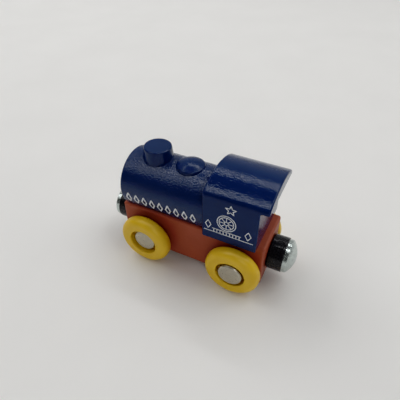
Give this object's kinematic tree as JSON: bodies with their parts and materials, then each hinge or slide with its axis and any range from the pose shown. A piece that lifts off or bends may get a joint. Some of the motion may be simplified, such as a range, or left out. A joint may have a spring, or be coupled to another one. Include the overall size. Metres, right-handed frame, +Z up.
{
  "type": "toy train locomotive",
  "caption": "Small wooden push-along locomotive with a round boiler, arched cab, plastic wheels on pins and a magnetic coupler at each end.",
  "frame": {"origin": "on the track surface, under the middle of the engine, halfway between the two coupler caps", "axes": "+X forward towards the funnel end, +Y to the engine's left, +Z up"},
  "size_m": [0.0742, 0.0318, 0.0433],
  "materials": {
    "navy_paint": "glossy navy enamel over wood",
    "orange_paint": "satin red-orange enamel over wood",
    "beech": "bare dowel",
    "yellow_plastic": "smooth moulded",
    "black_plastic": "satin moulded",
    "nickel_steel": "nickel plated",
    "zinc_steel": "zinc plated",
    "magnet": "sintered"
  },
  "bodies": {
    "engine": {"chassis": "orange_paint", "boiler": "navy_paint", "cab": "navy_paint", "funnel": "navy_paint", "steam_dome": "navy_paint", "boiler_dowels": "beech", "cab_dowels": "beech", "coupler_stud_front": "zinc_steel", "axle_pin_front_left": "nickel_steel", "axle_pin_front_right": "nickel_steel", "coupler_stud_rear": "zinc_steel", "axle_pin_rear_left": "nickel_steel", "axle_pin_rear_right": "nickel_steel"},
    "wheel_front_left": {"wheel_front_left": "yellow_plastic"},
    "wheel_front_right": {"wheel_front_right": "yellow_plastic"},
    "coupler_front": {"coupler_housing_front": "black_plastic", "coupler_magnet_front": "magnet", "coupler_cap_front": "zinc_steel"},
    "wheel_rear_left": {"wheel_rear_left": "yellow_plastic"},
    "wheel_rear_right": {"wheel_rear_right": "yellow_plastic"},
    "coupler_rear": {"coupler_housing_rear": "black_plastic", "coupler_magnet_rear": "magnet", "coupler_cap_rear": "zinc_steel"}
  },
  "joints": [
    {"name": "wheel_front_left_spin", "type": "hinge", "parent": "engine", "child": "wheel_front_left", "pos_m": [0.0163, 0.0136, 0.00995], "axis": [0, 1, 0], "continuous": true},
    {"name": "wheel_front_right_spin", "type": "hinge", "parent": "engine", "child": "wheel_front_right", "pos_m": [0.0163, -0.0136, 0.00995], "axis": [0, 1, 0], "continuous": true},
    {"name": "coupler_front_spin", "type": "hinge", "parent": "engine", "child": "coupler_front", "pos_m": [0.0307, 0, 0.0118], "axis": [1, 0, 0], "continuous": true},
    {"name": "wheel_rear_left_spin", "type": "hinge", "parent": "engine", "child": "wheel_rear_left", "pos_m": [-0.01835, 0.0134, 0.00995], "axis": [0, 1, 0], "continuous": true},
    {"name": "wheel_rear_right_spin", "type": "hinge", "parent": "engine", "child": "wheel_rear_right", "pos_m": [-0.01835, -0.01185, 0.00995], "axis": [0, 1, 0], "continuous": true},
    {"name": "coupler_rear_spin", "type": "hinge", "parent": "engine", "child": "coupler_rear", "pos_m": [-0.0307, 0, 0.0118], "axis": [1, 0, 0], "continuous": true}
  ]
}
